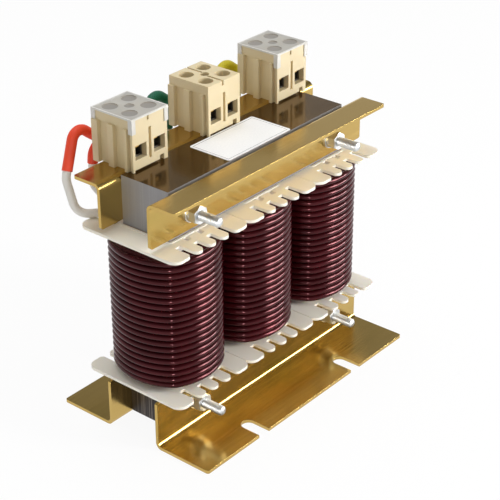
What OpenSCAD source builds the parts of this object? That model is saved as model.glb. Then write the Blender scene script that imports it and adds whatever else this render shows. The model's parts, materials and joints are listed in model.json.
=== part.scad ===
// Three-phase core reactor: a laminated core with three windings on fingered formers,
// clamped between four bent sheet brackets, with one two-pole terminal block for each phase.
// X runs along the row of windings, -Y is the side of the rating plate, Z is up,
// and z = 0 is the soles of the feet.

/* [Core] */
// Width of one leg along the row
leg_w = 30; // [24:1:36]
// Clear width between neighbouring legs
window_w = 33; // [33:0.5:37]
// Depth of the stack of laminations
stack_d = 35; // [30:1:45]
// Height of each yoke
yoke_h = 30; // [26:1:36]
// Clear height between the yokes
window_h = 96; // [80:1:110]
// Thickness of the spacer that sets the air gap above each leg
gap_t = 1.5; // [0.5:0.25:3]
// Height of the underside of the core above the soles
core_lift = 2.5; // [1:0.5:6]

/* [Brackets] */
// Length of the four brackets
bracket_len = 190; // [184:1:210]
// Sheet thickness of the brackets
sheet_t = 2; // [1.5:0.25:3]
// Inside radius of the bends
bend_r = 2; // [1:0.5:3]
// Radius of the cut sheet corners
sheet_corner_r = 1.5; // [0.5:0.5:3]
// Reach of each foot, from the face of the core
foot_reach = 40; // [34:1:55]
// Drop of a foot bracket's upright below the top of its yoke
foot_upright_drop = 1.5; // [0:0.5:4]
// Reach of each top flange, from the face of the core
flange_reach = 20; // [18:0.5:26]
// Rise of a top bracket's upright above the underside of its yoke
top_upright_rise = 2.5; // [0:0.5:4]
// Width of the open slots in the feet
foot_slot_w = 9; // [6:0.5:12]
// Depth of the open slots, measured from the edge of the foot
foot_slot_depth = 16.5; // [12:0.5:22]
// Distance of each slot from the middle of its foot
foot_slot_x = 45; // [30:1:75]

/* [Clamping] */
// Thread diameter of the clamping studs
stud_d = 6; // [5:0.5:7]
// Distance of the studs from the outer edge of their yoke
stud_edge = 16.5; // [14:0.5:18]
// Length of stud that stands out of the front brackets
stud_front_len = 22; // [14:0.5:30]
// Length of stud that stands out of the rear brackets
stud_rear_len = 11.5; // [10.5:0.5:14]
// Width of the hexagon nuts across their flats
nut_af = 10; // [9:0.5:13]
// Height of the hexagon nuts
nut_h = 5; // [4:0.5:6]
// Outer diameter of the flat washers
washer_d = 12; // [11:0.5:15]
// Thickness of the flat washers
washer_t = 1.6; // [1:0.2:2.4]
// Outer diameter of the spring washers
spring_washer_d = 10.8; // [9:0.2:13]
// Thickness of the spring washers
spring_washer_t = 1.6; // [1:0.2:2.4]
// Wall of the insulating tube on each stud
stud_tube_wall = 0.9; // [0.5:0.1:1.5]

/* [Formers] */
// Wall of the former's tube
tube_wall = 1.5; // [1:0.25:2]
// Outer corner radius of the tube
tube_corner_r = 3; // [2.5:0.25:5]
// Clearance between a leg and its tube
tube_clear = 0.5; // [0.2:0.1:1]
// Thickness of the end cheeks
cheek_t = 1.8; // [1.4:0.1:2.4]
// Length of tube that stands past each cheek
cheek_inset = 0.4; // [0.3:0.1:3]
// Reach of the cheeks past the front and rear of the tube
cheek_reach = 17.5; // [15:0.5:20]
// Gap between neighbouring cheeks
cheek_gap = 0.4; // [0.2:0.1:1]
// Distance between the finger centres
finger_pitch = 10.8; // [9.8:0.2:11.4]
// Width of the slots between the fingers
finger_slot_w = 4.2; // [2:0.2:4.6]
// Depth of the front slots beside the outer fingers
finger_slot_depth = 12.5; // [9:0.5:14]
// Depth of the slots beside the middle finger
finger_slot_short = 9; // [6:0.5:9.5]
// Length of the relief holes in line with the short slots
relief_len = 4; // [2:0.5:4.5]
// Width of the relief holes
relief_w = 3.4; // [1.6:0.2:4]
// Radius of a cheek's four outer corners
cheek_corner_r = 6; // [4:0.5:7]
// Radius of the corners where the outer slots open
slot_mouth_r = 3; // [1:0.5:4]

/* [Windings] */
// Diameter of the enamelled wire
wire_d = 3.9; // [3.2:0.1:3.9]
// Space between one turn and the next
turn_gap = 0.05; // [0.05:0.05:0.15]
// Room below the first turn, and the least room above the last one
coil_end_room = 3.5; // [0.5:0.25:4]
// Layers of wire
layers = 2; // [1:1:2]
// Bulge of the winding on its sides that face along the row
bulge_x = 5; // [2:0.25:5.5]
// Bulge of the winding on its front and rear sides
bulge_y = 4; // [2:0.25:5]

/* [Terminals] */
// Width of a terminal block along the row
block_w = 28; // [27.5:0.5:32]
// Depth of a terminal block
block_d = 30; // [29:0.5:36]
// Height of a terminal block
block_h = 31; // [29:0.5:36]
// Shift of each block along the row from its winding
block_shift = 4.5; // [0:0.5:8]
// Length of each block's foot that stands on the core, in front of the rear flange
block_lap = 4.5; // [3:0.5:6]
// Distance between the two poles of a block
pole_pitch = 15; // [14.5:0.25:15.5]
// Distance between the front and rear clamping screws
screw_pitch = 15; // [14.5:0.25:15]
// Diameter of the screwdriver wells
well_d = 9; // [7.4:0.2:9.4]
// Depth of the screwdriver wells
well_depth = 11; // [6:0.5:12]
// Diameter of the well of the fixing screw
fixing_well_d = 5.8; // [5.4:0.2:6]
// Width of the wire entries
entry_w = 9; // [8:0.2:9.4]
// Height of the wire entries
entry_h = 8.6; // [8.4:0.2:9.4]
// Room between a clamping cage and the end of its wire entry
entry_end_room = 0.5; // [0.25:0.25:0.75]
// Height of the floor of the entries above the foot of the block
entry_z = 7; // [5:0.25:8]
// Depth of the panels in the side of a block
panel_depth = 1.2; // [0.4:0.1:1.3]
// Height of the upright ribs beside the panels
rib_h = 1.4; // [0.6:0.1:2]
// Wall of the clamping cages
cage_wall = 1.1; // [0.8:0.1:1.2]
// Depth of the clamping cages
cage_d = 8; // [6:0.5:8]
// Thickness of the current bars
bar_t = 1.2; // [0.8:0.1:1.4]
// Width of the current bars
bar_w = 5; // [4.5:0.25:5.5]
// Thread diameter of the clamping screws
clamp_screw_d = 4; // [3:0.25:4.5]
// Thread diameter of the fixing screws
fixing_screw_d = 3; // [2.5:0.25:3.5]
// Thickness of the covers' plates
cover_t = 1; // [0.8:0.1:1.6]

/* [Leads] */
// Wall of the long white sleeves
sleeve_wall = 0.5; // [0.3:0.05:0.6]
// Wall of the short coloured sleeves
marker_wall = 0.5; // [0.3:0.05:0.6]

/* [Rating plate] */
// Width of the rating plate
plate_w = 56; // [40:1:60]
// Margin between the rating plate and the edges beside it
plate_margin = 0.3; // [0.2:0.1:4]
// Thickness of the rating plate
plate_t = 0.3; // [0.1:0.1:0.6]

/* [Hidden] */
$fn = 48;

// Places of the three phases along the row
leg_pitch = leg_w + window_w;
left = -leg_pitch;
middle = 0;
right = leg_pitch;
phases = [left, middle, right];

// Clearances
thread_fit = 0.05;
hole_fit = 0.5;
slide_fit = 0.1;

// Where two round sections meet end to end, the tighter one is a hair fuller and the other runs into it
joint_swell = 0.02;
joint_lap = 0.3;

// Levels of the core
core_len = 2 * leg_pitch + leg_w;
leg_foot_z = core_lift + yoke_h;
top_yoke_z = leg_foot_z + window_h;
core_top_z = top_yoke_z + yoke_h;
core_face_y = stack_d / 2;
bracket_face_y = core_face_y + sheet_t;

// Studs and what sits on them
stud_low_z = core_lift + stud_edge;
stud_top_z = core_top_z - stud_edge;
stud_places = [for (x = [left, right], z = [stud_low_z, stud_top_z]) [x, z]];
stud_tube_d = stud_d + 2 * slide_fit + 2 * stud_tube_wall;
stud_hole_d = stud_d + 2 * hole_fit;
spring_washer_y = bracket_face_y + washer_t;
nut_y = spring_washer_y + spring_washer_t;

// Tube and cheeks of a former
tube_half_w = leg_w / 2 + tube_clear + tube_wall;
tube_half_d = stack_d / 2 + tube_clear + tube_wall;
cheek_half_d = tube_half_d + cheek_reach;
cheek_w = leg_pitch - cheek_gap;
low_cheek_z = leg_foot_z + cheek_inset;
top_cheek_z = top_yoke_z - cheek_inset - cheek_t;
finger_w = finger_pitch - finger_slot_w;
outer_slot_x = 1.5 * finger_pitch;

// Plan of a winding: round corners on the tube's corners, and four bulged sides
coil_build = layers * wire_d;
coil_corner_x = tube_half_w - tube_corner_r;
coil_corner_y = tube_half_d - tube_corner_r;
coil_corner_r = tube_corner_r + slide_fit + coil_build;
coil_half_w = tube_half_w + coil_build + bulge_x;
coil_half_d = tube_half_d + coil_build + bulge_y;
turn_pitch = wire_d + turn_gap;
wound_h = top_cheek_z - low_cheek_z - cheek_t - 2 * coil_end_room;
turns = 1 + floor((wound_h - wire_d) / turn_pitch);
coil_h = (turns - 1) * turn_pitch + wire_d;
coil_z = low_cheek_z + cheek_t + coil_end_room;
coil_top_z = coil_z + coil_h;
groove_fill = 0.27 * wire_d;

// Radius of the bulged side that stands at distance half and meets the round corner at (along, across)
function side_r(half, along, across) =
    (pow(coil_corner_r, 2) - pow(along - half, 2) - pow(across, 2)) / (2 * (along - half + coil_corner_r));

side_x_r = side_r(coil_half_w, coil_corner_x, coil_corner_y);
side_y_r = side_r(coil_half_d, coil_corner_y, coil_corner_x);
side_x_angle = atan2(coil_corner_y, coil_corner_x - coil_half_w + side_x_r);
side_y_angle = atan2(coil_corner_x, coil_corner_y - coil_half_d + side_y_r);

// Terminal block, in its own frame with its foot at z = 0
lead_d = wire_d - 0.1;
block_base_z = core_top_z;
block_y = core_face_y - block_lap + block_d / 2;
block_back_y = block_y + block_d / 2;
well_floor_z = block_h - well_depth;
cage_w = entry_w - 0.6;
cage_play = 0.6;
cage_h = lead_d + cage_play + bar_t + 2 * cage_wall;
cage_y = screw_pitch / 2;
entry_end_y = cage_y - cage_d / 2 - entry_end_room;
bar_z = entry_z + cage_h - cage_wall - bar_t;
bar_len = screw_pitch + cage_d - 1;
clamp_head_d = well_d - 1.4;
clamp_head_h = 2.6;
fixing_head_d = fixing_well_d - 0.4;
fixing_head_h = 2;
fixing_floor_z = 4;
fixing_nut_af = 1.85 * fixing_screw_d;
fixing_nut_h = 0.8 * fixing_screw_d;
fixing_tip = 1;
top_slot_w = 1.4;
top_slot_depth = 3;
top_slot_jog = 1.1;
tall_slot_w = 2;
tall_slot_depth = 1.8;
tall_slot_over = 8;
tall_slot_under = 2;
panel_head = 5.5;
foot_gap_h = 1.2;
foot_gap_depth = 2.5;
cover_lip = 0.6;
cover_leg_w = 3;
cover_leg_h = 8;
dimple_depth = 0.4;

// Leads, from a terminal block down to its winding, round the winding's own middle
sleeve_d = lead_d + 2 * slide_fit + 2 * sleeve_wall;
marker_d = sleeve_d + 2 * slide_fit + 2 * marker_wall;
lead_z = block_base_z + entry_z + cage_play + cage_wall + lead_d / 2;
lead_start_y = block_y + cage_y - cage_d / 2;
lead_foot_x = outer_slot_x;
lead_foot_y = coil_half_d - side_y_r + sqrt(pow(side_y_r, 2) - pow(lead_foot_x, 2)) - (wire_d + lead_d) / 2 - 0.3;
lead_slot_w = lead_d + 2 * hole_fit;
lead_pass_z = top_cheek_z + cheek_t + sleeve_d / 2 + slide_fit;
lead_end_z = coil_top_z + 2 * joint_swell;
pole_a_x = block_shift - pole_pitch / 2;
pole_b_x = block_shift + pole_pitch / 2;

// Each point of a route is [x, y, z, bend radius]
lead_route_a = [
    [pole_a_x, lead_start_y, lead_z, 0], [pole_a_x, block_back_y + 8, lead_z, 5],
    [-14, block_back_y + 10, core_top_z + 20, 7], [-28, block_back_y + 5, core_top_z - 7, 10],
    [-27, cheek_half_d + 5, lead_pass_z, 9], [-lead_foot_x, cheek_half_d - 4, lead_pass_z, 5],
    [-lead_foot_x, lead_foot_y, lead_pass_z, 4], [-lead_foot_x, lead_foot_y, lead_end_z, 0]
];
lead_route_b = [
    [pole_b_x, lead_start_y, lead_z, 0], [pole_b_x, block_back_y + 8, lead_z, 5],
    [-4, block_back_y + 7, core_top_z + 1, 8], [-7, block_back_y + 6, core_top_z - 18, 10],
    [-2, cheek_half_d + 7, lead_pass_z, 9], [lead_foot_x, cheek_half_d - 4, lead_pass_z, 5],
    [lead_foot_x, lead_foot_y, lead_pass_z, 4], [lead_foot_x, lead_foot_y, lead_end_z, 0]
];
// How far along its third stretch each coloured sleeve ends
marker_end_a = 0.86;
marker_end_b = 0.36;

// Colours
gold = "#c79a3c";
steel = "#4a494b";
ivory = "#f3e7cf";
cream = "#ead7ac";
burgundy = "#7a2733";
zinc = "#c9c9c6";

// Plane and placing helpers

module rounded_rect(w, d, r) {
    square([w - 2 * r, d], center = true);
    square([w, d - 2 * r], center = true);
    for (x = [-1, 1], y = [-1, 1])
        translate([x * (w / 2 - r), y * (d / 2 - r)]) circle(r);
}

// Turns a thing's own +Z to point along +Y
module along_y() {
    rotate([-90, 0, 0]) children();
}

module ring(outer_d, inner_d, h) {
    rotate_extrude() translate([inner_d / 2, 0]) square([(outer_d - inner_d) / 2, h]);
}

// Core

module stud_bores() {
    for (p = stud_places)
        translate([p[0], -core_face_y - 1, p[1]]) along_y()
            cylinder(d = stud_tube_d + 2 * slide_fit, h = stack_d + 2);
}

module core_e_stack() {
    color(steel) difference() {
        union() {
            translate([-core_len / 2, -core_face_y, core_lift]) cube([core_len, stack_d, yoke_h]);
            for (x = phases)
                translate([x - leg_w / 2, -core_face_y, leg_foot_z]) cube([leg_w, stack_d, window_h - gap_t]);
        }
        stud_bores();
    }
}

module core_top_yoke() {
    color(steel) difference() {
        translate([-core_len / 2, -core_face_y, top_yoke_z]) cube([core_len, stack_d, yoke_h]);
        stud_bores();
    }
}

module gap_spacers() {
    color("#c8b48a") for (x = phases)
        translate([x - leg_w / 2, -core_face_y, top_yoke_z - gap_t]) cube([leg_w, stack_d, gap_t]);
}

// Brackets, drawn behind the core with their bend at y = 0 and their foot leaf on z = 0

// Section with x as the distance from the core's face and y as the height
module bent_section(reach, upright) {
    outer_r = bend_r + sheet_t;
    translate([outer_r, 0]) square([reach - outer_r, sheet_t]);
    translate([0, outer_r]) square([sheet_t, upright - outer_r]);
    intersection() {
        translate([outer_r, outer_r]) difference() {
            circle(outer_r);
            circle(bend_r);
        }
        square(outer_r);
    }
}

// Leaf outline that reaches to y = far, with its two far corners rounded
module leaf_outline(far) {
    rounded_rect(bracket_len, 2 * far, sheet_corner_r);
}

module bent_bracket(reach, upright) {
    intersection() {
        rotate([90, 0, 90]) linear_extrude(bracket_len, center = true) bent_section(reach, upright);
        linear_extrude(upright) leaf_outline(reach);
        translate([0, reach, 0]) rotate([90, 0, 0]) linear_extrude(reach) leaf_outline(upright);
    }
}

module bracket_stud_holes(z) {
    for (x = [left, right])
        translate([x, -1, z]) along_y() cylinder(d = stud_hole_d, h = sheet_t + 2);
}

module foot_bracket() {
    slot_end_y = foot_reach - foot_slot_depth + foot_slot_w / 2;
    color(gold) translate([0, core_face_y, 0]) difference() {
        bent_bracket(foot_reach, leg_foot_z - foot_upright_drop);
        bracket_stud_holes(stud_low_z);
        for (x = [-foot_slot_x, foot_slot_x]) {
            translate([x, slot_end_y, -1]) cylinder(d = foot_slot_w, h = sheet_t + 2);
            translate([x - foot_slot_w / 2, slot_end_y, -1]) cube([foot_slot_w, foot_slot_depth, sheet_t + 2]);
        }
    }
}

module top_bracket() {
    color(gold) translate([0, core_face_y, core_top_z]) difference() {
        mirror([0, 0, 1]) bent_bracket(flange_reach, yoke_h - top_upright_rise);
        bracket_stud_holes(-stud_edge);
    }
}

module front_foot_bracket() {
    mirror([0, 1, 0]) foot_bracket();
}

module rear_foot_bracket() {
    foot_bracket();
}

module front_top_bracket() {
    mirror([0, 1, 0]) top_bracket();
}

module rear_top_bracket() {
    color(gold) difference() {
        top_bracket();
        at_blocks() translate([0, 0, -sheet_t - 1])
            cylinder(d = fixing_screw_d + 2 * slide_fit, h = sheet_t + 2);
    }
}

// Studs, tubes, washers and nuts

module clamp_studs() {
    chamfer = 0.8;
    front_y = -bracket_face_y - stud_front_len;
    total = 2 * bracket_face_y + stud_front_len + stud_rear_len;
    color(zinc) for (p = stud_places) translate([p[0], front_y, p[1]]) along_y() rotate_extrude() polygon([
        [0, 0], [stud_d / 2 - chamfer, 0], [stud_d / 2, chamfer],
        [stud_d / 2, total - chamfer], [stud_d / 2 - chamfer, total], [0, total]
    ]);
}

module stud_tubes() {
    color("#d9cba0") for (p = stud_places)
        translate([p[0], -core_face_y, p[1]]) along_y() ring(stud_tube_d, stud_d + 2 * slide_fit, stack_d);
}

// Places a fastener on both ends of each stud, seated at distance y from the middle of the core
module at_stud_ends(y) {
    for (p = stud_places, side = [0, 1])
        mirror([0, side, 0]) translate([p[0], y, p[1]]) along_y() children();
}

module flat_washers() {
    color(zinc) at_stud_ends(bracket_face_y) ring(washer_d, stud_d + hole_fit, washer_t);
}

module spring_washers() {
    split = 0.9;
    color(zinc) at_stud_ends(spring_washer_y) difference() {
        ring(spring_washer_d, stud_d + 2 * slide_fit, spring_washer_t);
        rotate(25) translate([0, -split / 2, -1]) cube([spring_washer_d, split, spring_washer_t + 2]);
    }
}

module hex_nut(af, h, bore) {
    corner_d = af / cos(30);
    chamfer = (corner_d - af) / 2;
    drop = chamfer * tan(30);
    difference() {
        intersection() {
            cylinder(d = corner_d, h = h, $fn = 6);
            rotate_extrude() polygon([
                [0, 0], [af / 2, 0], [corner_d / 2, drop], [corner_d / 2, h - drop], [af / 2, h], [0, h]
            ]);
        }
        translate([0, 0, -1]) cylinder(d = bore, h = h + 2);
    }
}

module hex_nuts() {
    color(zinc) at_stud_ends(nut_y) rotate(30) hex_nut(nut_af, nut_h, stud_d + 2 * thread_fit);
}

// Formers

// One half of a cheek, on the +Y side of the row, with its outer slots cut down to the given width
module cheek_half(slot_w, slot_root_y) {
    short_root_y = cheek_half_d - finger_slot_short;
    lobe_in = outer_slot_x + finger_slot_w / 2;
    lobe_w = cheek_w / 2 - lobe_in;
    lobe_len = 2 * finger_slot_depth;
    tip_y = cheek_half_d - finger_w / 2;
    difference() {
        union() {
            translate([-cheek_w / 2, 0]) square([cheek_w, cheek_half_d - finger_slot_depth]);
            translate([-outer_slot_x, 0]) square([2 * outer_slot_x, short_root_y]);
            for (x = [-finger_pitch, 0, finger_pitch]) {
                translate([x - finger_w / 2, 0]) square([finger_w, tip_y]);
                translate([x, tip_y]) circle(d = finger_w);
            }
            for (side = [0, 1]) mirror([side, 0]) translate([lobe_in, cheek_half_d - lobe_len / 2]) {
                translate([lobe_w / 2, 0]) rounded_rect(lobe_w, lobe_len, cheek_corner_r);
                translate([lobe_w / 4, 0]) rounded_rect(lobe_w / 2, lobe_len, slot_mouth_r);
            }
        }
        for (x = [-outer_slot_x, outer_slot_x])
            translate([x - slot_w / 2, slot_root_y]) square([slot_w, cheek_half_d]);
        for (x = [-finger_pitch, finger_pitch] / 2)
            translate([x - relief_w / 2, short_root_y - 2 * relief_len]) square([relief_w, relief_len]);
    }
}

// The front slots are narrow, and the outer slots at the rear let the lead wires through
module cheek() {
    linear_extrude(cheek_t) difference() {
        union() {
            cheek_half(lead_slot_w, lead_foot_y - lead_slot_w / 2);
            mirror([0, 1]) cheek_half(finger_slot_w, cheek_half_d - finger_slot_depth);
        }
        square([2 * tube_half_w - tube_wall, 2 * tube_half_d - tube_wall], center = true);
    }
}

module former(x) {
    color(ivory) translate([x, 0, 0]) {
        for (z = [low_cheek_z, top_cheek_z]) translate([0, 0, z]) cheek();
        translate([0, 0, leg_foot_z]) linear_extrude(window_h) difference() {
            rounded_rect(2 * tube_half_w, 2 * tube_half_d, tube_corner_r);
            square([leg_w + 2 * tube_clear, stack_d + 2 * tube_clear], center = true);
        }
    }
}

module former_left() {
    former(left);
}

module former_middle() {
    former(middle);
}

module former_right() {
    former(right);
}

// Windings

// Section of the stacked turns, whose outermost point lies at distance r from the axis
module turns_section(r, swell) {
    first = coil_z + wire_d / 2;
    last = coil_top_z - wire_d / 2;
    centre = r - wire_d / 2;
    translate([r - coil_build - swell, coil_z - swell]) square([coil_build - wire_d / 2, coil_h + 2 * swell]);
    translate([centre - 1, first]) square([groove_fill + 1 + swell, last - first]);
    for (i = [0:turns - 1]) translate([centre, first + i * turn_pitch]) circle(d = wire_d + 2 * swell);
}

// Carries the section along one bulged side, which faces the angle middle
module bulged_side(r, middle, half_angle) {
    lap_angle = joint_lap / r * 180 / PI;
    rotate(middle - half_angle - lap_angle)
        rotate_extrude(angle = 2 * (half_angle + lap_angle)) turns_section(r, 0);
}

module winding(x) {
    corner_angle = 90 - side_x_angle - side_y_angle;
    color(burgundy) translate([x, 0, 0]) for (half_turn = [0, 180]) rotate(half_turn) {
        translate([coil_half_w - side_x_r, 0]) bulged_side(side_x_r, 0, side_x_angle);
        translate([0, coil_half_d - side_y_r]) bulged_side(side_y_r, 90, side_y_angle);
        for (side = [0, 1]) mirror([side, 0, 0]) translate([coil_corner_x, coil_corner_y])
            rotate(side_x_angle) rotate_extrude(angle = corner_angle) turns_section(coil_corner_r, joint_swell);
    }
}

module winding_left() {
    winding(left);
}

module winding_middle() {
    winding(middle);
}

module winding_right() {
    winding(right);
}

// Terminal blocks

// Places a thing drawn in a block's own frame at each phase
module at_blocks() {
    for (x = phases) at_block(x) children();
}

module at_block(x) {
    translate([x + block_shift, block_y, block_base_z]) children();
}

// Places a thing at each of a block's four clamping screws, the rear ones higher by rear_rise
module at_clamps(rear_rise = 0) {
    for (x = [-pole_pitch, pole_pitch] / 2, rear = [0, 1])
        translate([x, (rear - 0.5) * screw_pitch, rear * rear_rise]) children();
}

// Cuts of the front of a block, which its rear repeats
module block_end_cuts() {
    for (x = [-pole_pitch, pole_pitch] / 2)
        translate([x - entry_w / 2, -block_d / 2 - 1, entry_z])
            cube([entry_w, block_d / 2 + 1 - entry_end_y, entry_h]);
    translate([-tall_slot_w / 2, -block_d / 2 - 1, entry_z - tall_slot_under])
        cube([tall_slot_w, tall_slot_depth + 1, entry_h + tall_slot_under + tall_slot_over]);
    translate([-top_slot_jog - top_slot_w / 2, -block_d / 2 - 1, block_h - top_slot_depth])
        cube([top_slot_w, block_d / 2 + 1 - fixing_well_d / 2, top_slot_depth + 1]);
    translate([block_w / 2 - 6.5, -block_d / 2 - 1, -1]) cube([3.4, foot_gap_depth + 1, 4.6]);
    translate([1.4 - block_w / 2, -block_d / 2 - 1, -1])
        cube([block_w - 4.6, foot_gap_depth + 1, foot_gap_h + 1]);
}

// Sunk panels in the side of a block, between its upright ribs
module block_side_panels() {
    for (span = [[-0.45, -0.39], [-0.32, -0.05], [0.09, 0.35]])
        translate([-block_w / 2 - 1, span[0] * block_d, -1])
            cube([panel_depth + 1, (span[1] - span[0]) * block_d, block_h - panel_head + 1]);
}

// Upright ribs that stand out between the panels
module block_side_ribs() {
    for (span = [[-0.39, -0.32], [-0.05, 0.09], [0.35, 0.5]])
        translate([-block_w / 2 - rib_h, span[0] * block_d, 0])
            cube([rib_h + 2, (span[1] - span[0]) * block_d, block_h - panel_head]);
}

module terminal_block(x) {
    color(cream) at_block(x) difference() {
        union() {
            translate([-block_w / 2, -block_d / 2, 0]) cube([block_w, block_d, block_h]);
            block_side_ribs();
        }
        block_end_cuts();
        rotate(180) block_end_cuts();
        block_side_panels();
        at_clamps() {
            translate([0, 0, well_floor_z]) cylinder(d = well_d, h = well_depth + 1);
            translate([0, 0, entry_z]) cylinder(d = clamp_screw_d + 2 * slide_fit, h = block_h);
        }
        translate([0, 0, fixing_floor_z]) cylinder(d = fixing_well_d, h = block_h);
        translate([0, 0, -1]) cylinder(d = fixing_screw_d + 2 * slide_fit, h = block_h);
        for (x = [-pole_pitch, pole_pitch] / 2)
            translate([x - bar_w / 2 - slide_fit, -bar_len / 2, bar_z - slide_fit])
                cube([bar_w + 2 * slide_fit, bar_len, bar_t + 2 * slide_fit]);
    }
}

module terminal_left() {
    terminal_block(left);
}

module terminal_middle() {
    terminal_block(middle);
}

module terminal_right() {
    terminal_block(right);
}

// The front cages stand open, and the rear ones are drawn up onto their leads
module clamp_cages() {
    color(zinc) at_blocks() at_clamps(cage_play) translate([0, 0, entry_z]) difference() {
        translate([-cage_w / 2, -cage_d / 2, 0]) cube([cage_w, cage_d, cage_h]);
        translate([-cage_w / 2 + cage_wall, -cage_d / 2 - 1, cage_wall])
            cube([cage_w - 2 * cage_wall, cage_d + 2, cage_h - 2 * cage_wall]);
        cylinder(d = clamp_screw_d + 2 * thread_fit, h = cage_h + 1);
        translate([0, 0, -1]) cylinder(d = clamp_screw_d + 2 * thread_fit, h = cage_wall + 2);
    }
}

module current_bars() {
    color("#b9974e") at_blocks() for (x = [-pole_pitch, pole_pitch] / 2)
        translate([x - bar_w / 2, -bar_len / 2, bar_z]) cube([bar_w, bar_len, bar_t]);
}

// A slotted screw whose head sits on z = 0 and whose shank hangs below it
module slotted_screw(head_d, head_h, shank_d, shank_len) {
    difference() {
        union() {
            cylinder(d = head_d, h = head_h);
            translate([0, 0, -shank_len]) cylinder(d = shank_d, h = shank_len);
        }
        translate([-head_d / 2 - 1, -0.4, head_h / 2]) cube([head_d + 2, 0.8, head_h]);
    }
}

module clamp_screws() {
    color(zinc) at_blocks() at_clamps() translate([0, 0, well_floor_z])
        slotted_screw(clamp_head_d, clamp_head_h, clamp_screw_d, well_floor_z - bar_z - bar_t);
}

module fixing_screws() {
    color(zinc) at_blocks() translate([0, 0, fixing_floor_z])
        slotted_screw(fixing_head_d, fixing_head_h, fixing_screw_d,
            fixing_floor_z + sheet_t + fixing_nut_h + fixing_tip);
}

module fixing_nuts() {
    color(zinc) at_blocks() translate([0, 0, -sheet_t - fixing_nut_h])
        hex_nut(fixing_nut_af, fixing_nut_h, fixing_screw_d + 2 * thread_fit);
}

// Clear cover on the top of a block, with dimples over its wells and a leg down each corner
module block_cover(x) {
    plate_half_w = block_w / 2 + cover_lip;
    plate_half_d = block_d / 2 + cover_lip;
    color("#dedbd5") at_block(x) {
        translate([0, 0, block_h]) difference() {
            translate([-plate_half_w, -plate_half_d, 0]) cube([2 * plate_half_w, 2 * plate_half_d, cover_t]);
            translate([0, 0, cover_t - dimple_depth]) {
                at_clamps() cylinder(d = well_d, h = cover_t);
                cylinder(d = fixing_well_d, h = cover_t);
            }
        }
        difference() {
            for (side = [0, 1], end = [0, 1]) mirror([side, 0, 0]) mirror([0, end, 0])
                translate([plate_half_w - cover_leg_w, plate_half_d - cover_leg_w, block_h - cover_leg_h])
                    cube([cover_leg_w, cover_leg_w, cover_leg_h]);
            translate([-block_w / 2, -block_d / 2, 0]) cube([block_w, block_d, block_h]);
            block_side_ribs();
        }
    }
}

module cover_left() {
    block_cover(left);
}

module cover_right() {
    block_cover(right);
}

// Leads

function unit(v) = v / norm(v);
function point(p) = [p[0], p[1], p[2]];
function heading(route, i) = unit(point(route[i + 1]) - point(route[i]));
function turn_angle(route, i) = acos(heading(route, i - 1) * heading(route, i));

// Length that the bend at corner i takes from the straights beside it
function bend_take(route, i) =
    i == 0 || i == len(route) - 1 ? 0 : route[i][3] * tan(turn_angle(route, i) / 2);

// Places children so that their own axes lie along x_axis and z_axis, with their origin at place
module oriented(place, x_axis, z_axis) {
    y_axis = cross(z_axis, x_axis);
    multmatrix([
        [x_axis[0], y_axis[0], z_axis[0], place[0]],
        [x_axis[1], y_axis[1], z_axis[1], place[1]],
        [x_axis[2], y_axis[2], z_axis[2], place[2]],
        [0, 0, 0, 1]
    ]) children();
}

// A round rod along a route, straight between its bends, with its two ends drawn longer by over
module routed_rod(route, d, over) {
    last = len(route) - 1;
    for (i = [0:last - 1]) {
        way = heading(route, i);
        side = unit(cross(way, abs(way[2]) > 0.9 ? [0, 1, 0] : [0, 0, 1]));
        from = i == 0 ? -over : bend_take(route, i) - joint_lap;
        cut = i == last - 1 ? -over : bend_take(route, i + 1) - joint_lap;
        oriented(point(route[i]) + way * from, side, way)
            cylinder(d = d, h = norm(point(route[i + 1]) - point(route[i])) - from - cut);
    }
    for (i = [1:last - 1]) {
        before = heading(route, i - 1);
        after = heading(route, i);
        r = route[i][3];
        centre = point(route[i]) + unit(after - before) * r / cos(turn_angle(route, i) / 2);
        start = point(route[i]) - before * bend_take(route, i);
        oriented(centre, unit(start - centre), unit(cross(before, after)))
            rotate_extrude(angle = turn_angle(route, i)) translate([r, 0]) circle(d = d + 2 * joint_swell);
    }
}

module routed_tube(route, outer_d, inner_d) {
    difference() {
        routed_rod(route, outer_d, 0);
        routed_rod(route, inner_d, 1);
    }
}

// The route from the rear face of the block on, without the wire's end inside the clamp
function outside_route(route) = [
    for (i = [0:len(route) - 1]) i == 0 ? [route[0][0], block_back_y + slide_fit, route[0][2], 0] : route[i]
];

// The white sleeve stops above the cheek, where the wire begins to bend down
function sleeve_route(route) = [
    for (i = [0:len(route) - 2]) i == len(route) - 2
        ? [route[i][0], route[i][1] + route[i][3], route[i][2], 0] : outside_route(route)[i]
];

// The coloured sleeve stops part of the way along the third stretch
function marker_route(route, end) = [
    for (i = [0:3]) i == 3
        ? [for (k = [0:2]) route[2][k] + end * (route[3][k] - route[2][k])] : outside_route(route)[i]
];

module lead(x, route) {
    color("#a8552e") translate([x, 0, 0]) routed_rod(route, lead_d, 0);
}

module sleeve(x, route) {
    color("#efece4") translate([x, 0, 0]) routed_tube(sleeve_route(route), sleeve_d, lead_d + 2 * slide_fit);
}

module marker(x, route, end, shade) {
    color(shade) translate([x, 0, 0])
        routed_tube(marker_route(route, end), marker_d, sleeve_d + 2 * slide_fit);
}

module lead_left_a() {
    lead(left, lead_route_a);
}

module lead_left_b() {
    lead(left, lead_route_b);
}

module lead_middle_a() {
    lead(middle, lead_route_a);
}

module lead_middle_b() {
    lead(middle, lead_route_b);
}

module lead_right_a() {
    lead(right, lead_route_a);
}

module lead_right_b() {
    lead(right, lead_route_b);
}

module sleeve_left_a() {
    sleeve(left, lead_route_a);
}

module sleeve_left_b() {
    sleeve(left, lead_route_b);
}

module sleeve_middle_a() {
    sleeve(middle, lead_route_a);
}

module sleeve_middle_b() {
    sleeve(middle, lead_route_b);
}

module sleeve_right_a() {
    sleeve(right, lead_route_a);
}

module sleeve_right_b() {
    sleeve(right, lead_route_b);
}

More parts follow.
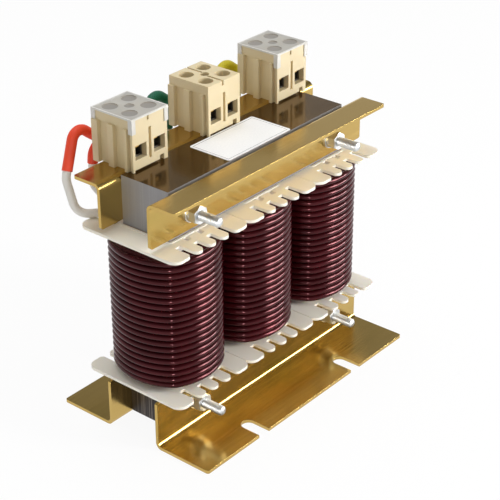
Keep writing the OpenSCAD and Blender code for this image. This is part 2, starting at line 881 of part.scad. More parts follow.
module marker_left_a() {
    marker(left, lead_route_a, marker_end_a, "#e2401c");
}

module marker_left_b() {
    marker(left, lead_route_b, marker_end_b, "#e2401c");
}

module marker_middle_a() {
    marker(middle, lead_route_a, marker_end_a, "#0f6b4a");
}

module marker_middle_b() {
    marker(middle, lead_route_b, marker_end_b, "#0f6b4a");
}

module marker_right_a() {
    marker(right, lead_route_a, marker_end_a, "#cbb90c");
}

module marker_right_b() {
    marker(right, lead_route_b, marker_end_b, "#cbb90c");
}

// Rating plate, on the top of the core between the front edge and the terminal blocks

module rating_plate() {
    plate_front_y = -core_face_y + plate_margin;
    plate_back_y = core_face_y - block_lap - plate_margin;
    color("#f4f4f2") translate([1, (plate_front_y + plate_back_y) / 2, core_top_z])
        linear_extrude(plate_t) rounded_rect(plate_w, plate_back_y - plate_front_y, 1.5);
}

core_e_stack();
core_top_yoke();
gap_spacers();
front_foot_bracket();
rear_foot_bracket();
front_top_bracket();
rear_top_bracket();
clamp_studs();
stud_tubes();
flat_washers();
spring_washers();
hex_nuts();
former_left();
former_middle();
former_right();
winding_left();
winding_middle();
winding_right();
terminal_left();
terminal_middle();
terminal_right();
clamp_cages();
current_bars();
clamp_screws();
fixing_screws();
fixing_nuts();
cover_left();
cover_right();
lead_left_a();
lead_left_b();
lead_middle_a();
lead_middle_b();
lead_right_a();
lead_right_b();
sleeve_left_a();
sleeve_left_b();
sleeve_middle_a();
sleeve_middle_b();
sleeve_right_a();
sleeve_right_b();
marker_left_a();
marker_left_b();
marker_middle_a();
marker_middle_b();
marker_right_a();
marker_right_b();
rating_plate();
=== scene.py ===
# %% [markdown]
# A three-phase core reactor, dressed for a plain studio photograph.
#
# The solids come packed from the CAD step and stand where they belong: core, brackets, formers, terminal
# blocks and fasteners. This script gives each of them a finish, and makes anew the pieces whose looks the
# solids can only hint at: the wound wire, the threaded studs and the sleeved leads.

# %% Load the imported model
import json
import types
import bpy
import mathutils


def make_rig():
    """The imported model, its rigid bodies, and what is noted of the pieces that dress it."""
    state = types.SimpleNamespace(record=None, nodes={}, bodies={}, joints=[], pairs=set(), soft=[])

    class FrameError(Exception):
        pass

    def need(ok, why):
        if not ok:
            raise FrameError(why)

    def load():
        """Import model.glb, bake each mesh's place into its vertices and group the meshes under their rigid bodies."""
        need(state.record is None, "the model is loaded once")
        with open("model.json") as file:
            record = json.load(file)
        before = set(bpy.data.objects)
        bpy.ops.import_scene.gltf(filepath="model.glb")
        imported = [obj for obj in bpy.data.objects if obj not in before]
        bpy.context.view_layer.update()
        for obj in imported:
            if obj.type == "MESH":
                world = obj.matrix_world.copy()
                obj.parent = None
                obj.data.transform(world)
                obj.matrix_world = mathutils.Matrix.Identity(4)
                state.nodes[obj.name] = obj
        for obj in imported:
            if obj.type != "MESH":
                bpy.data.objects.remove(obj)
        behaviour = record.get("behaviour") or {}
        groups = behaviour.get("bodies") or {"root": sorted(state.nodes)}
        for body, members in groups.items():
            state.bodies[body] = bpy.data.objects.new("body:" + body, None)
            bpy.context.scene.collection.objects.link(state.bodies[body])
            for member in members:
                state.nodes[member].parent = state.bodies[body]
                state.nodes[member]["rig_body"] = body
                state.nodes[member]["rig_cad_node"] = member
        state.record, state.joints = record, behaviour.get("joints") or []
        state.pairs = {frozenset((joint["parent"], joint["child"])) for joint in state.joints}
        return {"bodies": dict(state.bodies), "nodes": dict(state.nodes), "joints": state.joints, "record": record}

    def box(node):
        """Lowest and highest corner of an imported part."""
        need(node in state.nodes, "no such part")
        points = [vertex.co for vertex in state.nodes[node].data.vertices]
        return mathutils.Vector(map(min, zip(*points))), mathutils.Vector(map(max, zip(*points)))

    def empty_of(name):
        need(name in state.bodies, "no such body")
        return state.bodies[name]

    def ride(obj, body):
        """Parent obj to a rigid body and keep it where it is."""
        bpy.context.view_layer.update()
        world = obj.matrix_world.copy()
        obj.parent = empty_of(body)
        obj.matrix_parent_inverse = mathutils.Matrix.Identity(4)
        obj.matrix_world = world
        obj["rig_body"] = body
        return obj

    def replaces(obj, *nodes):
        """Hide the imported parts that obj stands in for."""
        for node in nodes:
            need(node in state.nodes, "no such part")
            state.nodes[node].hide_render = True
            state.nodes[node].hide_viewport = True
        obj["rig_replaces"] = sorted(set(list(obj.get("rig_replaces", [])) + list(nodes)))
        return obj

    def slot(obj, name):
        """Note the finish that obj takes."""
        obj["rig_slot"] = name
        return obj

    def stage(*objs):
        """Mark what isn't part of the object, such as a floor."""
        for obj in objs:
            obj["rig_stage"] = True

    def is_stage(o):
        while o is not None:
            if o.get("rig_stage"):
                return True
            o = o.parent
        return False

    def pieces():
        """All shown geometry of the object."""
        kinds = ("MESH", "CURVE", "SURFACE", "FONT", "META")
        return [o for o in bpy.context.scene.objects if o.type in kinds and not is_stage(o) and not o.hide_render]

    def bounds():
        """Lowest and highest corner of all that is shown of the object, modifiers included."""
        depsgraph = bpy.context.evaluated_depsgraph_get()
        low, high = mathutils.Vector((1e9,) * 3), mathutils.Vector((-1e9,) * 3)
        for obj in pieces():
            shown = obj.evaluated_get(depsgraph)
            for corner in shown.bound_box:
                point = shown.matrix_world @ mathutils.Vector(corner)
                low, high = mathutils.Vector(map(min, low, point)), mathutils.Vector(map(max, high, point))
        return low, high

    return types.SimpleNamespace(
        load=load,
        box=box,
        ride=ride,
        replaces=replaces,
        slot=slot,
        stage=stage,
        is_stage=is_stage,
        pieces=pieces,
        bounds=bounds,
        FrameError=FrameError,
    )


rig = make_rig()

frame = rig.load()

import json
from math import pi, radians

import bpy
import numpy as np
from mathutils import Matrix, Vector

CAD_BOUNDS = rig.bounds()
NODES = frame["nodes"]
MM = 0.001
print("nodes:", len(NODES))

# %% [markdown]
# Colours are written as they look on a screen, so one function turns such a code into the linear values
# that a shader wants. One more adds a shader node and fills its inputs, whether with numbers or with links.
# Sizes in the patterns are real ones: noise of scale 900 has grains of 1 / 900 m, a little over a millimetre.

# %% Colour and shader helpers
def linear(code, alpha=1.0):
    """Screen colour code to linear: c / 12.92 below 0.04045, else ((c + 0.055) / 1.055) ** 2.4."""
    c = np.array([int(code[i:i + 2], 16) for i in (1, 3, 5)]) / 255
    c = np.where(c <= 0.04045, c / 12.92, ((c + 0.055) / 1.055) ** 2.4)
    return (*c.tolist(), alpha)


def add(mat, kind, inputs=None, **settings):
    """Adds a shader node. Keys of inputs are socket names or numbers, values are numbers or sockets."""
    node = mat.node_tree.nodes.new("ShaderNode" + kind)
    for key, value in settings.items():
        setattr(node, key, value)
    for key, value in (inputs or {}).items():
        if isinstance(value, bpy.types.NodeSocket):
            mat.node_tree.links.new(value, node.inputs[key])
        else:
            node.inputs[key].default_value = value
    return node


def new_material(name, **constants):
    """A material with one Principled shader, whose constant sockets are set at once."""
    mat = bpy.data.materials.new(name)
    mat.use_nodes = True
    shader = mat.node_tree.nodes["Principled BSDF"]
    for key, value in constants.items():
        shader.inputs[key.replace("_", " ").title().replace("Ior", "IOR")].default_value = value
    return mat, shader


def link(mat, output, socket):
    mat.node_tree.links.new(output, socket)


def ramp(mat, factor, stops):
    """A colour ramp through (place, colour code) stops."""
    node = add(mat, "ValToRGB", {"Fac": factor})
    elements = node.color_ramp.elements
    while len(elements) < len(stops):
        elements.new(0.5)
    for element, (place, code) in zip(elements, stops):
        element.position = place
        element.color = linear(code)
    return node.outputs["Color"]


def noise(mat, scale, stretch=(1, 1, 1), detail=3.0, roughness=0.5):
    """Noise whose grains are 1 / scale metres, drawn out along an axis where stretch is under 1."""
    place = add(mat, "TexCoord").outputs["Object"]
    mapping = add(mat, "Mapping", {"Vector": place, "Scale": stretch})
    return add(mat, "TexNoise", {"Vector": mapping.outputs[0], "Scale": scale, "Detail": detail,
                                 "Roughness": roughness}).outputs["Fac"]


def spread(mat, factor, low, high, source_low=0.3, source_high=0.7):
    """Maps factor from source_low..source_high to low..high."""
    return add(mat, "MapRange", {"Value": factor, "From Min": source_low, "From Max": source_high,
                                 "To Min": low, "To Max": high}).outputs["Result"]


def bump(mat, shader, height, depth_mm, edge_mm=0.0):
    """Bumps the shader's normal by a height of depth_mm, over edges rounded by edge_mm."""
    inputs = {"Height": height, "Strength": 1.0, "Distance": depth_mm * MM}
    if edge_mm:
        inputs["Normal"] = add(mat, "Bevel", {"Radius": edge_mm * MM}, samples=6).outputs["Normal"]
    link(mat, add(mat, "Bump", inputs).outputs["Normal"], shader.inputs["Normal"])


def paint(mat, *names):
    """Gives CAD nodes a material, in every slot they have."""
    for name in names:
        slots = NODES[name].data.materials
        slots.clear()
        slots.append(mat)
    print(mat.name, "on", ", ".join(names))


print("mid grey as a shader takes it:", [round(v, 3) for v in linear("#808080")])


# %% [markdown]
# Camera, floor and light
#
# The camera's place was solved from some forty points of the photograph: it looks down on the near end of
# the row from the rating plate's side, through a long lens. The floor is white paper: rays that come from
# the camera, or off metal, see it glow evenly, yet a small share of it stays paper and takes the shadow.
# Two reflectors stand low in front. They show in gloss alone, as glints on wire and metal.

# %% Camera
AZIMUTH, ELEVATION, ROLL = radians(-50.13), radians(28.55), radians(-0.28)
TARGET = Vector((11.6, 0.0, 79.7)) * MM
DISTANCE = 923.4 * MM
FOCAL_PX, PHOTO_PX, SENSOR = 1517.7, 500, 36.0

back = Vector((np.sin(AZIMUTH) * np.cos(ELEVATION), -np.cos(AZIMUTH) * np.cos(ELEVATION), np.sin(ELEVATION)))
side = Vector((np.cos(AZIMUTH), np.sin(AZIMUTH), 0.0))
turn = Matrix((side, back.cross(side), back)).transposed() @ Matrix.Rotation(ROLL, 3, "Z")
camera = bpy.data.objects.new("camera", bpy.data.cameras.new("camera"))
bpy.context.scene.collection.objects.link(camera)
camera.matrix_world = Matrix.Translation(TARGET + back * DISTANCE) @ turn.to_4x4()
camera.data.sensor_width = SENSOR
camera.data.lens = FOCAL_PX / PHOTO_PX * SENSOR
camera.data.clip_start = 0.05
bpy.context.scene.camera = camera
bpy.context.scene.view_settings.view_transform = "Standard"
print("lens", round(camera.data.lens, 1), "mm")


# %% Floor, world and lamps
def seen_directly(nodes, links):
    """1 for rays from the camera, off a glossy surface or through a clear one, else 0."""
    path = nodes.new("ShaderNodeLightPath")
    total = path.outputs["Is Camera Ray"]
    for name in ("Is Glossy Ray", "Is Transmission Ray"):
        larger = nodes.new("ShaderNodeMath")
        larger.operation = "MAXIMUM"
        links.new(total, larger.inputs[0])
        links.new(path.outputs[name], larger.inputs[1])
        total = larger.outputs[0]
    return total


# Metres from the middle of the floor to its edges, and the share of it that glows
FLOOR_REACH = 3.0
PAPER_GLOW = 0.92


def make_floor():
    """A square of paper, far larger than the view."""
    corners = [(x * FLOOR_REACH, y * FLOOR_REACH, 0) for x, y in ((-1, -1), (1, -1), (1, 1), (-1, 1))]
    mesh = bpy.data.meshes.new("floor")
    mesh.from_pydata(corners, [], [(0, 1, 2, 3)])
    floor = bpy.data.objects.new("floor", mesh)
    bpy.context.scene.collection.objects.link(floor)
    mat, shader = new_material("white_paper", roughness=0.9)
    shader.inputs["Base Color"].default_value = linear("#F4F4F4")
    glow = add(mat, "Emission", {"Color": (1, 1, 1, 1), "Strength": 1.0})
    share = add(mat, "Math", {0: seen_directly(mat.node_tree.nodes, mat.node_tree.links), 1: PAPER_GLOW},
                operation="MULTIPLY")
    mix = add(mat, "MixShader", {0: share.outputs[0], 1: shader.outputs[0], 2: glow.outputs[0]})
    link(mat, mix.outputs[0], mat.node_tree.nodes["Material Output"].inputs["Surface"])
    mesh.materials.append(mat)
    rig.stage(floor)


# Strength of the grey, and the heights between which the sweep darkens, 0 level and 1 straight up
PLAIN_LIGHT = 0.56
SWEEP_TOP, CEILING = 0.16, 0.6


def make_world():
    """A plain soft grey as a lamp. To look at, a white sweep all round that darkens towards the ceiling."""
    world = bpy.data.worlds.new("studio")
    world.use_nodes = True
    tree = world.node_tree
    plain = tree.nodes["Background"]
    plain.inputs["Color"].default_value = (1, 1, 1, 1)
    plain.inputs["Strength"].default_value = PLAIN_LIGHT
    height = tree.nodes.new("ShaderNodeSeparateXYZ")
    tree.links.new(tree.nodes.new("ShaderNodeTexCoord").outputs["Generated"], height.inputs[0])
    sky = tree.nodes.new("ShaderNodeValToRGB")
    tree.links.new(height.outputs["Z"], sky.inputs["Fac"])
    sky.color_ramp.elements[0].position = SWEEP_TOP
    sky.color_ramp.elements[0].color = (1, 1, 1, 1)
    sky.color_ramp.elements[1].position = CEILING
    sky.color_ramp.elements[1].color = (0.2, 0.2, 0.2, 1)
    sweep_look = tree.nodes.new("ShaderNodeBackground")
    tree.links.new(sky.outputs["Color"], sweep_look.inputs["Color"])
    mix = tree.nodes.new("ShaderNodeMixShader")
    tree.links.new(seen_directly(tree.nodes, tree.links), mix.inputs[0])
    tree.links.new(plain.outputs[0], mix.inputs[1])
    tree.links.new(sweep_look.outputs[0], mix.inputs[2])
    tree.links.new(mix.outputs[0], tree.nodes["World Output"].inputs["Surface"])
    bpy.context.scene.world = world


LAMP_AIM = Vector((0, 0, 0.09))


def make_lamp(name, place, width, height, watts, glint_only=False):
    """A soft box turned towards the middle of the object. With glint_only it shows in gloss alone."""
    data = bpy.data.lights.new(name, "AREA")
    data.shape = "RECTANGLE"
    data.size = width
    data.size_y = height
    data.energy = watts
    lamp = bpy.data.objects.new(name, data)
    bpy.context.scene.collection.objects.link(lamp)
    lamp.location = place
    lamp.visible_diffuse = not glint_only
    lamp.rotation_euler = (LAMP_AIM - lamp.location).to_track_quat("-Z", "Y").to_euler()


make_floor()
make_world()
make_lamp("soft_box_front", (0.55, -1.15, 0.5), 0.35, 0.35, 12.0)
make_lamp("reflector_front", (0.82, -1.0, 0.12), 0.8, 0.3, 20.0, glint_only=True)
make_lamp("reflector_corner", (-1.02, -0.8, 0.2), 0.1, 0.3, 6.0, glint_only=True)
make_lamp("soft_box_top", (0.1, 0.2, 1.4), 0.6, 0.6, 6.0)
print("lamps:", len(bpy.data.lights))


# %% [markdown]
# Surfaces from formulas
#
# The wire, the studs and the leads are all sweeps: a round section carried along a path. The path is an
# array of points, a frame is carried along it without twist, and the surface is the grid of path and section.
# A curve with a bevel makes a round tube too, but a grid can change its radius round the section as well.

# %% Sweep tools
def unit(v):
    return v / np.linalg.norm(v, axis=-1, keepdims=True)


def frames_along(path):
    """Two unit vectors across the path at each point, carried from one point to the next without twist."""
    along = unit(np.gradient(path, axis=0))
    first = np.cross(along[0], (0.0, 0.0, 1.0) if abs(along[0][2]) < 0.9 else (0.0, 1.0, 0.0))
    across = np.empty_like(path)
    across[0] = first / np.linalg.norm(first)
    for i in range(1, len(path)):
        v = across[i - 1] - along[i] * (across[i - 1] @ along[i])
        across[i] = v / np.linalg.norm(v)
    return across, np.cross(along, across)


def sweep(path, radius, sides=16):
    """Grid of points path(s) + radius(s, a) * (u(s) cos a + v(s) sin a)."""
    u, v = frames_along(path)
    a = np.linspace(0, 2 * pi, sides, endpoint=False)
    r = np.broadcast_to(radius, (len(path), sides))[..., None]
    return path[:, None] + r * (u[:, None] * np.cos(a)[:, None] + v[:, None] * np.sin(a)[:, None])


def grid_faces(rows, cols, start):
    """Quads (i, j), (i, j + 1), (i + 1, j + 1), (i + 1, j) of a grid whose columns close in a ring."""
    i = np.arange(rows - 1)[:, None] * cols
    j = np.arange(cols)[None]
    k = (j + 1) % cols
    return (np.stack([i + j, i + k, i + cols + k, i + cols + j], -1).reshape(-1, 4) + start).tolist()


def tube_mesh(name, grids, mat, slot):
    """One object from closed-round grids, each with a fan of its own on both ends."""
    points, faces, uvs = [], [], []
    count = 0
    for grid in grids:
        rows, cols = grid.shape[:2]
        points.append(grid.reshape(-1, 3))
        faces += grid_faces(rows, cols, count)
        faces.append(tuple(range(count + cols - 1, count - 1, -1)))
        faces.append(tuple(range(count + (rows - 1) * cols, count + rows * cols)))
        length = np.concatenate([[0], np.cumsum(np.linalg.norm(np.diff(grid.mean(1), axis=0), axis=1))])
        around = np.arange(cols)[None] / cols
        uvs.append(np.stack(np.broadcast_arrays(around, length[:, None]), -1).reshape(-1, 2))
        count += rows * cols
    mesh = bpy.data.meshes.new(name)
    mesh.from_pydata(np.concatenate(points).tolist(), [], faces)
    layer = mesh.uv_layers.new(name="along")
    corner_vertex = np.empty(len(mesh.loops), np.int64)
    mesh.loops.foreach_get("vertex_index", corner_vertex)
    layer.data.foreach_set("uv", np.concatenate(uvs)[corner_vertex].astype(np.float32).ravel())
    mesh.polygons.foreach_set("use_smooth", np.full(len(mesh.polygons), True))
    mesh.materials.append(mat)
    mesh.update()
    obj = bpy.data.objects.new(name, mesh)
    bpy.context.scene.collection.objects.link(obj)
    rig.ride(obj, "root")
    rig.slot(obj, slot)
    print(f"{name}: {len(mesh.vertices)} points, {len(mesh.polygons)} faces")
    return obj


print("a straight tube, as rings, sides and x y z:", sweep(np.linspace((0, 0, 0), (0, 0, 1), 5), 0.1).shape)


# %% [markdown]
# Windings
#
# Thick round wire is wound on edge-rounded formers under tension, and springs out a little between the
# corners, so the plan of a turn is four shallow bows joined by four tight corners. The wire climbs one
# pitch each turn and lies flat for its first and last half turn, against the cheeks. Stacked rings would
# look much the same from afar, but up close the eye follows a wire, so it is one true helix.

# %% Wire finish
def make_enamel():
    """Red-brown enamel, dark and glossy, with copper below that tints its highlights."""
    mat, shader = new_material("enamelled_copper", metallic=0.45, specular_ior_level=0.3)
    tint = ramp(mat, noise(mat, 45.0), [(0.3, "#38070C"), (0.7, "#4A0E15")])
    link(mat, tint, shader.inputs["Base Color"])
    rub = noise(mat, 90.0, detail=4.0)
    link(mat, spread(mat, rub, 0.12, 0.18), shader.inputs["Roughness"])
    return mat


ENAMEL = make_enamel()
print("wire finish:", ENAMEL.name)

# %% Wind the three coils
LEG_PITCH = 63.0
PHASES = {"left": -LEG_PITCH, "middle": 0.0, "right": LEG_PITCH}
WIRE_D = 3.9
TURN_PITCH = 3.95
TURNS = 21
CORNER = (14.0, 16.5, 10.9)
HALF_W, HALF_D = 29.8, 31.3
COIL_Z = (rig.box("winding_middle")[0].z / MM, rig.box("winding_middle")[1].z / MM)
# The inner layer lies this share of a wire in from the outline, and this far from the cheeks
INNER_SHARE = 0.6
INNER_ROOM = 0.5


def bow(half, along, across, r):
    """Radius and half angle of the bow at distance half that meets the corner circle r along its tangent."""
    radius = (r ** 2 - (along - half) ** 2 - across ** 2) / (2 * (along - half + r))
    return radius, np.arctan2(across, along - half + radius)


def turn_plan(inset, step=1.6):
    """Closed plan of one turn in millimetres, inset from the winding's outline, from its rear middle on."""
    cx, cy, r = CORNER
    rx, ax = bow(HALF_W, cx, cy, r)
    ry, ay = bow(HALF_D, cy, cx, r)

    def arc(centre, radius, a0, a1):
        n = max(2, round(abs(a1 - a0) * radius / step))
        a = np.linspace(a0, a1, n, endpoint=False)
        r_in = radius - inset
        return np.stack([centre[0] + r_in * np.cos(a), centre[1] + r_in * np.sin(a)], -1)

    q = pi / 2
    parts = [
        arc((0, HALF_D - ry), ry, q, q + ay), arc((-cx, cy), r, q + ay, 2 * q - ax),
        arc((rx - HALF_W, 0), rx, 2 * q - ax, 2 * q + ax), arc((-cx, -cy), r, 2 * q + ax, 3 * q - ay),
        arc((0, ry - HALF_D), ry, 3 * q - ay, 3 * q + ay), arc((cx, -cy), r, 3 * q + ay, 4 * q - ax),
        arc((HALF_W - rx, 0), rx, -ax, ax), arc((cx, cy), r, ax, q - ay),
        arc((0, HALF_D - ry), ry, q - ay, q),
    ]
    return np.concatenate(parts)


def wind(name, x):
    """Helix (p(t), low + pitch * clip(t - 1/2, 0, turns - 1)) of plan p, t in turns, and the inner layer."""
    plan = turn_plan(WIRE_D / 2)
    n = len(plan)
    t = np.arange(TURNS * n + 1) / n
    low = COIL_Z[0] + WIRE_D / 2
    z = low + TURN_PITCH * np.clip(t - 0.5, 0, TURNS - 1)
    path = np.column_stack([plan[np.arange(len(t)) % n] + (x, 0), z])
    inner = turn_plan(WIRE_D * INNER_SHARE) + (x, 0)
    heights = (COIL_Z[0] + INNER_ROOM, COIL_Z[1] - INNER_ROOM)
    wall = np.stack([np.column_stack([inner, np.full(n, h)]) for h in heights])
    coil = tube_mesh("wire_" + name, [sweep(path * MM, WIRE_D / 2 * MM, 14), wall[:, ::-1] * MM],
                     ENAMEL, "enamelled_wire")
    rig.replaces(coil, "winding_" + name)


for phase, phase_x in PHASES.items():
    wind(phase, phase_x)

# %% [markdown]
# Studs
#
# A clamping stud is threaded rod, zinc plated. Its surface is a cylinder whose radius follows the thread:
# one ridge each millimetre, with a flat crest and a flat root, turning once round as it climbs. A modifier
# could wind a tooth into a screw, but one formula for the radius gives the ridge and the chamfer at once.

# %% Zinc finish and threaded studs
def make_plating(name, dark, light):
    """Plated steel: a metal whose colour drifts a little and whose gloss is broken by a fine grain."""
    mat, shader = new_material(name, metallic=1.0)
    link(mat, ramp(mat, noise(mat, 120.0), [(0.3, dark), (0.7, light)]), shader.inputs["Base Color"])
    grain = noise(mat, 300.0, detail=4.0)
    link(mat, spread(mat, grain, 0.32, 0.46), shader.inputs["Roughness"])
    return mat


ZINC = make_plating("white_zinc_plate", "#C6C9CB", "#DEDFDE")
STUD_D = 6.0
THREAD_PITCH, THREAD_DEPTH, CHAMFER = 1.0, 0.35, 0.8
ROD_SIDES, RINGS_PER_TURN = 20, 7


def threaded_rod(x, z, y0, y1):
    """Radius r - depth * clip(4.8 |frac(y / pitch - a) - 1/2| - 0.7, 0, 1), a in turns, ends chamfered."""
    y = np.linspace(y0, y1, round((y1 - y0) / THREAD_PITCH * RINGS_PER_TURN))
    a = np.arange(ROD_SIDES) / ROD_SIDES
    tooth = np.abs((y[:, None] / THREAD_PITCH - a[None]) % 1.0 - 0.5) * 2
    end = np.minimum(y - y0, y1 - y)[:, None]
    r = STUD_D / 2 - THREAD_DEPTH * np.clip(2.4 * tooth - 0.7, 0, 1)
    r = np.minimum(r, STUD_D / 2 - np.clip(CHAMFER - end, 0, None))
    path = np.column_stack([np.full(len(y), x), y, np.full(len(y), z)])
    return sweep(path * MM, r * MM, ROD_SIDES)


low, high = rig.box("clamp_studs")
centres = sorted({round(v, 2) for v in (low.z / MM + STUD_D / 2, high.z / MM - STUD_D / 2)})
STUD_PLACES = [(x, z) for x in (-LEG_PITCH, LEG_PITCH) for z in centres]
studs = tube_mesh("threaded_studs", [threaded_rod(x, z, low.y / MM, high.y / MM) for x, z in STUD_PLACES],
                  ZINC, "white_zinc")
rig.replaces(studs, "clamp_studs")
paint(ZINC, "flat_washers", "spring_washers", "hex_nuts", "clamp_screws", "fixing_screws", "fixing_nuts")
# The cages sit inside the entries and are coloured far darker than plated steel, a painted shade of the entries around
# them
paint(make_plating("cage_steel_with_painted_entry_shade", "#4A4742", "#5E5A54"), "clamp_cages")

# %% [markdown]
# Leads
#
# Each lead leaves its terminal at the rear, bows over and runs down behind the top bracket to its winding.
# The way is a chain of straights with round bends, the same as in the solids, sampled evenly. Over the wire
# lies a woven white sleeve, and over that, at the terminal's end, a short sleeve in the phase's colour. A
# smooth curve through the corners would cut them, while arcs keep each bend's radius true.

# %% Lead routes
LEAD_D = 3.8
SLEEVE_D = 5.0
MARKER_D = 6.2


def rounded_route(corners, step=0.7):
    """Points every step millimetres along the straights and bends of corners [x, y, z, bend radius]."""
    p = np.array(corners, float)
    points = [p[0, :3]]
    for i in range(1, len(p) - 1):
        here, r = p[i, :3], p[i, 3]
        a, b = unit(p[i - 1, :3] - here), unit(p[i + 1, :3] - here)
        half = np.arccos(np.clip(a @ b, -1, 1)) / 2
        centre = here + unit(a + b) * r / np.sin(half)
        start, end = here + a * r / np.tan(half), here + b * r / np.tan(half)
        u, sweep_angle = unit(start - centre), pi - 2 * half
        v = unit(end - centre - u * ((end - centre) @ u))
        t = np.linspace(0, sweep_angle, max(3, round(sweep_angle * r / step)))[:, None]
        points.extend(centre + r * (u * np.cos(t) + v * np.sin(t)))
    points.append(p[-1, :3])
    points = np.array(points)
    s = np.concatenate([[0], np.cumsum(np.linalg.norm(np.diff(points, axis=0), axis=1))])
    even = np.linspace(0, s[-1], round(s[-1] / step))
    return np.stack([np.interp(even, s, points[:, k]) for k in range(3)], -1)


print("route points:", len(rounded_route([[0, 0, 0, 0], [10, 0, 0, 4], [10, 10, 0, 0]])))


# %% [markdown]
# Moulded nylon
#
# Formers and terminal blocks are moulded in nylon: satin, and a little see-through where they are thin. A
# plain colour would look like card, so some light goes in below the skin. The mould's grain is finer than
# the picture can show, so it is drawn 0.7 mm coarse, and it breaks the gloss and softens the edges.

# %% Formers and terminal blocks
def make_nylon(name, dark, light):
    """Nylon tinted by a slow noise from dark to light, with a fine grain in its gloss and relief."""
    mat, shader = new_material(name, subsurface_weight=0.12, subsurface_scale=0.002)
    cloud = noise(mat, 25.0, detail=2.0)
    tint = ramp(mat, cloud, [(0.3, dark), (0.7, light)])
    link(mat, tint, shader.inputs["Base Color"])
    shader.inputs["Subsurface Radius"].default_value = (1.0, 0.7, 0.4)
    grain = noise(mat, 1400.0, detail=2.0)
    link(mat, spread(mat, grain, 0.36, 0.5), shader.inputs["Roughness"])
    bump(mat, shader, grain, 0.012, edge_mm=0.25)
    return mat


IVORY = make_nylon("ivory_nylon", "#F7EFDD", "#FDF8EC")
CREAM = make_nylon("cream_nylon", "#D8C69C", "#E0D0AA")
paint(IVORY, "former_left", "former_middle", "former_right")
paint(CREAM, "terminal_left", "terminal_middle", "terminal_right")

# %% [markdown]
# Yellow passivate
#
# The brackets are bent from 2 mm steel sheet, zinc plated and passivated yellow. The film is too thin to
# show as a layer of its own and only tints what the metal mirrors, so a gold metal looks the same as a
# coat over zinc would, and is simpler. Drifts of olive run for centimetres. The lines that rolling left
# along the sheet are drawn about a millimetre wide, coarser than they are, so that they show.

# %% Brackets
def make_yellow_zinc():
    """A gold metal with drifts of olive from slow noise, and noise drawn out along X for rolled lines."""
    mat, shader = new_material("yellow_passivated_zinc", metallic=1.0)
    drift = noise(mat, 14.0, stretch=(0.5, 1, 1), detail=3.0, roughness=0.6)
    film = ramp(mat, drift, [(0.3, "#B2944A"), (0.45, "#C8AA66"), (0.6, "#C0A25C"), (0.75, "#AA9650")])
    link(mat, film, shader.inputs["Base Color"])
    rolled = noise(mat, 900.0, stretch=(0.03, 1, 1), detail=3.0)
    link(mat, spread(mat, rolled, 0.14, 0.26), shader.inputs["Roughness"])
    bump(mat, shader, rolled, 0.008, edge_mm=0.2)
    return mat


paint(make_yellow_zinc(), "front_foot_bracket", "rear_foot_bracket", "front_top_bracket", "rear_top_bracket")

# %% [markdown]
# Laminated core
#
# The core is a stack of steel sheets, half a millimetre thick, with bronze varnish on its top. Seventy sheets
# could be modelled one by one, but each is hardly a pixel wide. So they are drawn: the place along Y divided
# by the thickness of a sheet counts the sheets, and the count gives each one its own shade and an edge line.

# %% Core and yoke
SHEET_T = 0.5
GAP_SHARE = 0.12


def make_laminations(name, end_dark, end_light, end_metal, line_depth):
    """Sheet number floor(y / t), its edge line where frac(y / t) is small, and varnish on what faces up."""
    mat, shader = new_material(name)
    place = add(mat, "TexCoord").outputs["Object"]
    y = add(mat, "SeparateXYZ", {"Vector": place}).outputs["Y"]
    count = add(mat, "Math", {0: y, 1: SHEET_T * MM}, operation="DIVIDE").outputs[0]
    sheet = add(mat, "Math", {0: count}, operation="FLOOR").outputs[0]
    own = add(mat, "TexWhiteNoise", {"W": sheet}, noise_dimensions="1D").outputs["Value"]
    within = add(mat, "Math", {0: count}, operation="FRACT").outputs[0]
    gap = add(mat, "Math", {0: within, 1: GAP_SHARE}, operation="LESS_THAN").outputs[0]
    edges = ramp(mat, own, [(0.0, end_dark), (0.6, end_dark), (0.95, end_light)])
    varnish = ramp(mat, noise(mat, 22.0, stretch=(0.4, 1, 1)), [(0.3, "#523A12"), (0.7, "#705628")])
    facing = add(mat, "SeparateXYZ", {"Vector": add(mat, "NewGeometry").outputs["True Normal"]}).outputs["Z"]
    top = add(mat, "Math", {0: facing, 1: 0.5}, operation="GREATER_THAN").outputs[0]
    skin = add(mat, "Mix", {0: top, 6: edges, 7: varnish}, data_type="RGBA").outputs[2]
    line = add(mat, "Math", {0: gap, 1: line_depth}, operation="MULTIPLY").outputs[0]
    lined = add(mat, "Mix", {0: line, 6: skin, 7: linear("#1A1008")}, data_type="RGBA").outputs[2]
    link(mat, lined, shader.inputs["Base Color"])
    link(mat, spread(mat, top, end_metal, 0.85, 0, 1), shader.inputs["Metallic"])
    link(mat, spread(mat, top, 0.42, 0.12, 0, 1), shader.inputs["Roughness"])
    bump(mat, shader, gap, 0.006)
    return mat


paint(make_laminations("varnished_stack", "#2C2524", "#7C736C", 0.5, 0.35), "core_e_stack")
paint(make_laminations("ground_yoke", "#96969A", "#A0A0A2", 0.3, 0.1), "core_top_yoke")

# %% [markdown]
# Pressboard and brass
#
# Spacers, stud tubes and current bars lie between other pieces, and little more than a line of them is
# seen. Worn edges or fibres would be lost there, so a colour with a fine grain is enough.

# %% Spacers, tubes and bars
def make_board(name, dark, light, metallic=0.0):
    """A plain finish tinted by a fine noise from dark to light."""
    mat, shader = new_material(name, roughness=0.6, metallic=metallic)
    link(mat, ramp(mat, noise(mat, 500.0), [(0.3, dark), (0.7, light)]), shader.inputs["Base Color"])
    return mat


paint(make_board("pressboard", "#A88A58", "#BFA26E"), "gap_spacers", "stud_tubes")
paint(make_board("brass_bar", "#A8894A", "#C4A45C", metallic=1.0), "current_bars")
